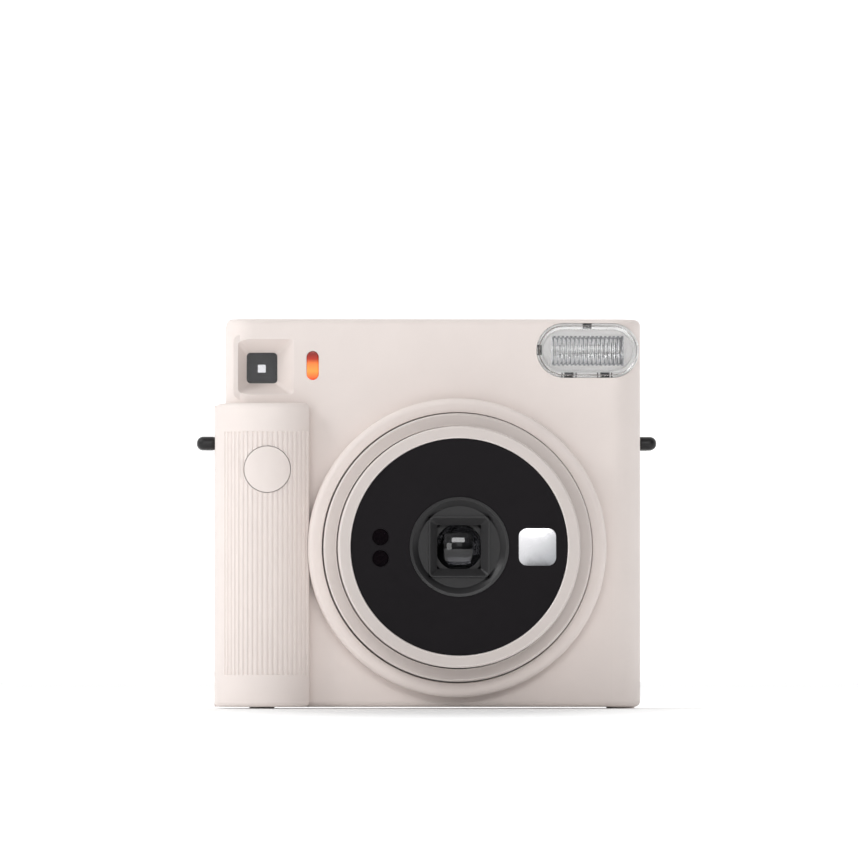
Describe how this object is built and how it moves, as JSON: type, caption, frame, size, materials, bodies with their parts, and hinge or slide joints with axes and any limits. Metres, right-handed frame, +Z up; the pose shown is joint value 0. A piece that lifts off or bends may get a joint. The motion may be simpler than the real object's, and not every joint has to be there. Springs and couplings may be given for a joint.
{
  "type": "instant camera",
  "caption": "Square-format instant camera: boxy shell, ribbed side grip, big stepped lens ring with extending barrel, wide flash window, hinged film door and side battery cover.",
  "frame": {"origin": "centre of the base at the surface the feet stand on, midway between the lens front and the film door", "axes": "+Z up, the lens faces -Y, +X to the right of someone in front of the lens (flash side), grip on -X"},
  "size_m": [0.1414, 0.066, 0.1192],
  "materials": {
    "shell": "warm chalk white moulded plastic, fine satin grain",
    "black_plastic": "black moulded plastic, satin",
    "black_panel": "black panel, semi-gloss",
    "dark_window": "dark tinted window, glossy",
    "clear_plastic": "clear moulded window, glossy",
    "lens_glass": "coated lens glass, polished",
    "orange_lens": "translucent orange moulding, glossy",
    "lamp": "lamp, lit orange",
    "mirror": "silvered convex mirror",
    "reflector": "bright reflector",
    "white_plastic": "white moulded plastic",
    "tube_glass": "flash tube glass",
    "capacitor_sleeve": "black shrink sleeve",
    "steel": "plain steel, satin",
    "spring_leaf": "blackened thin metal",
    "contact_metal": "nickel-plated contact",
    "gear_plastic": "natural acetal",
    "rubber": "black rubber",
    "circuit_board": "green board with black chips"
  },
  "bodies": {
    "camera_body": {"front_cover": "shell", "rear_cover": "shell", "grip_cover": "shell", "lens_collar": "shell", "dial_retainer": "black_plastic", "base_feet": "shell", "case_screws": "steel", "strap_lug_left": "black_plastic", "strap_lug_right": "black_plastic", "viewfinder_window": "dark_window", "viewfinder_tunnel": "black_plastic", "eyepiece_frame": "black_plastic", "eyepiece_lens": "clear_plastic", "indicator_window": "orange_lens", "indicator_lamp": "lamp", "flash_window": "clear_plastic", "flash_holder": "white_plastic", "flash_reflector": "reflector", "flash_tube": "tube_glass", "flash_capacitor": "capacitor_sleeve", "shutter_spring": "steel", "shutter_switch": "gear_plastic", "film_chamber": "black_plastic", "light_cone": "black_plastic", "exit_seal": "rubber", "roller_frame": "black_plastic", "roller_bushes": "gear_plastic", "drive_motor": "steel", "door_hinge_pin": "steel", "battery_door_pin": "steel", "battery_holder": "black_plastic", "battery_contacts": "contact_metal", "main_board": "circuit_board", "counter_window": "clear_plastic"},
    "button": {"shutter_button": "shell"},
    "dial": {"lens_dial": "shell"},
    "lens_barrel": {"barrel": "shell", "front_disc": "black_panel", "lens_ring": "black_plastic", "lens_hood": "black_plastic", "selfie_mirror": "mirror", "sensor_windows": "dark_window", "shutter_plate": "black_plastic", "front_lens": "lens_glass", "rear_lens": "lens_glass", "shutter_solenoid": "steel"},
    "left_leaf": {"cover_leaf_left": "spring_leaf"},
    "right_leaf": {"cover_leaf_right": "spring_leaf"},
    "blade": {"shutter_blade": "spring_leaf"},
    "claw": {"pick_claw": "steel"},
    "front_roller": {"drive_roller": "steel"},
    "rear_roller": {"pressure_roller": "rubber"},
    "idler": {"idler_gear": "gear_plastic"},
    "pinion": {"motor_pinion": "steel"},
    "back_door": {"film_door": "shell", "door_window": "clear_plastic", "pack_springs": "steel"},
    "latch": {"door_latch": "black_plastic"},
    "battery_hatch": {"battery_door": "shell"},
    "counter": {"counter_dial": "white_plastic"}
  },
  "joints": [
    {"name": "shutter_press", "type": "slide", "parent": "camera_body", "child": "button", "axis": [0, 1, 0], "range_m": [0, 0.0015], "stiffness_N_per_m": 1000, "springref_m": -0.0006, "deforming": ["shutter_spring"]},
    {"name": "lens_dial_turn", "type": "hinge", "parent": "camera_body", "child": "dial", "pos_m": [0.0088, 0, 0.0491], "axis": [0, -1, 0], "range_deg": [-15, 60]},
    {"name": "barrel_slide", "type": "slide", "parent": "camera_body", "child": "lens_barrel", "axis": [0, 1, 0], "range_m": [-0.0022, 0.0085]},
    {"name": "left_leaf_slide", "type": "slide", "parent": "lens_barrel", "child": "left_leaf", "axis": [1, 0, 0], "range_m": [-0.0018, 0.0071]},
    {"name": "right_leaf_slide", "type": "slide", "parent": "lens_barrel", "child": "right_leaf", "axis": [-1, 0, 0], "range_m": [-0.0018, 0.0071]},
    {"name": "shutter_blade_swing", "type": "hinge", "parent": "lens_barrel", "child": "blade", "pos_m": [0.0198, -0.0207, 0.0521], "axis": [0, -1, 0], "range_deg": [0, 25], "stiffness_Nm_per_rad": 0.0006, "springref_deg": -11.46},
    {"name": "pick_claw_slide", "type": "slide", "parent": "camera_body", "child": "claw", "axis": [0, 0, 1], "range_m": [0, 0.009], "stiffness_N_per_m": 40, "springref_m": -0.003},
    {"name": "front_roller_turn", "type": "hinge", "parent": "camera_body", "child": "front_roller", "pos_m": [0, 0.0114, 0.1094], "axis": [1, 0, 0], "continuous": true},
    {"name": "rear_roller_turn", "type": "hinge", "parent": "camera_body", "child": "rear_roller", "pos_m": [0, 0.0194, 0.1094], "axis": [1, 0, 0], "continuous": true},
    {"name": "idler_turn", "type": "hinge", "parent": "camera_body", "child": "idler", "pos_m": [0, 0.00279, 0.10539], "axis": [1, 0, 0], "continuous": true},
    {"name": "pinion_turn", "type": "hinge", "parent": "camera_body", "child": "pinion", "pos_m": [0, 0.00279, 0.09739], "axis": [1, 0, 0], "continuous": true},
    {"name": "film_door_swing", "type": "hinge", "parent": "camera_body", "child": "back_door", "pos_m": [0.0552, 0.0312, 0.0545], "axis": [0, 0, -1], "range_deg": [0, 92]},
    {"name": "door_latch_slide", "type": "slide", "parent": "back_door", "child": "latch", "axis": [0, 0, -1], "range_m": [0, 0.0035], "stiffness_N_per_m": 300, "springref_m": -0.001},
    {"name": "battery_door_swing", "type": "hinge", "parent": "camera_body", "child": "battery_hatch", "pos_m": [-0.0633, 0.0097, 0.0116], "axis": [0, -1, 0], "range_deg": [0, 90]},
    {"name": "counter_turn", "type": "hinge", "parent": "camera_body", "child": "counter", "pos_m": [-0.049, 0.0284, 0.0575], "axis": [0, -1, 0], "range_deg": [0, 330]}
  ],
  "couplings": [
    {"joint": "barrel_slide", "follows": "lens_dial_turn", "m_per_rad": 0.0080214},
    {"joint": "left_leaf_slide", "follows": "lens_dial_turn", "m_per_rad": 0.0066845},
    {"joint": "right_leaf_slide", "follows": "lens_dial_turn", "m_per_rad": 0.0066845},
    {"joint": "rear_roller_turn", "follows": "front_roller_turn", "ratio": -1},
    {"joint": "idler_turn", "follows": "front_roller_turn", "ratio": -0.72727},
    {"joint": "pinion_turn", "follows": "front_roller_turn", "ratio": 1.6}
  ]
}
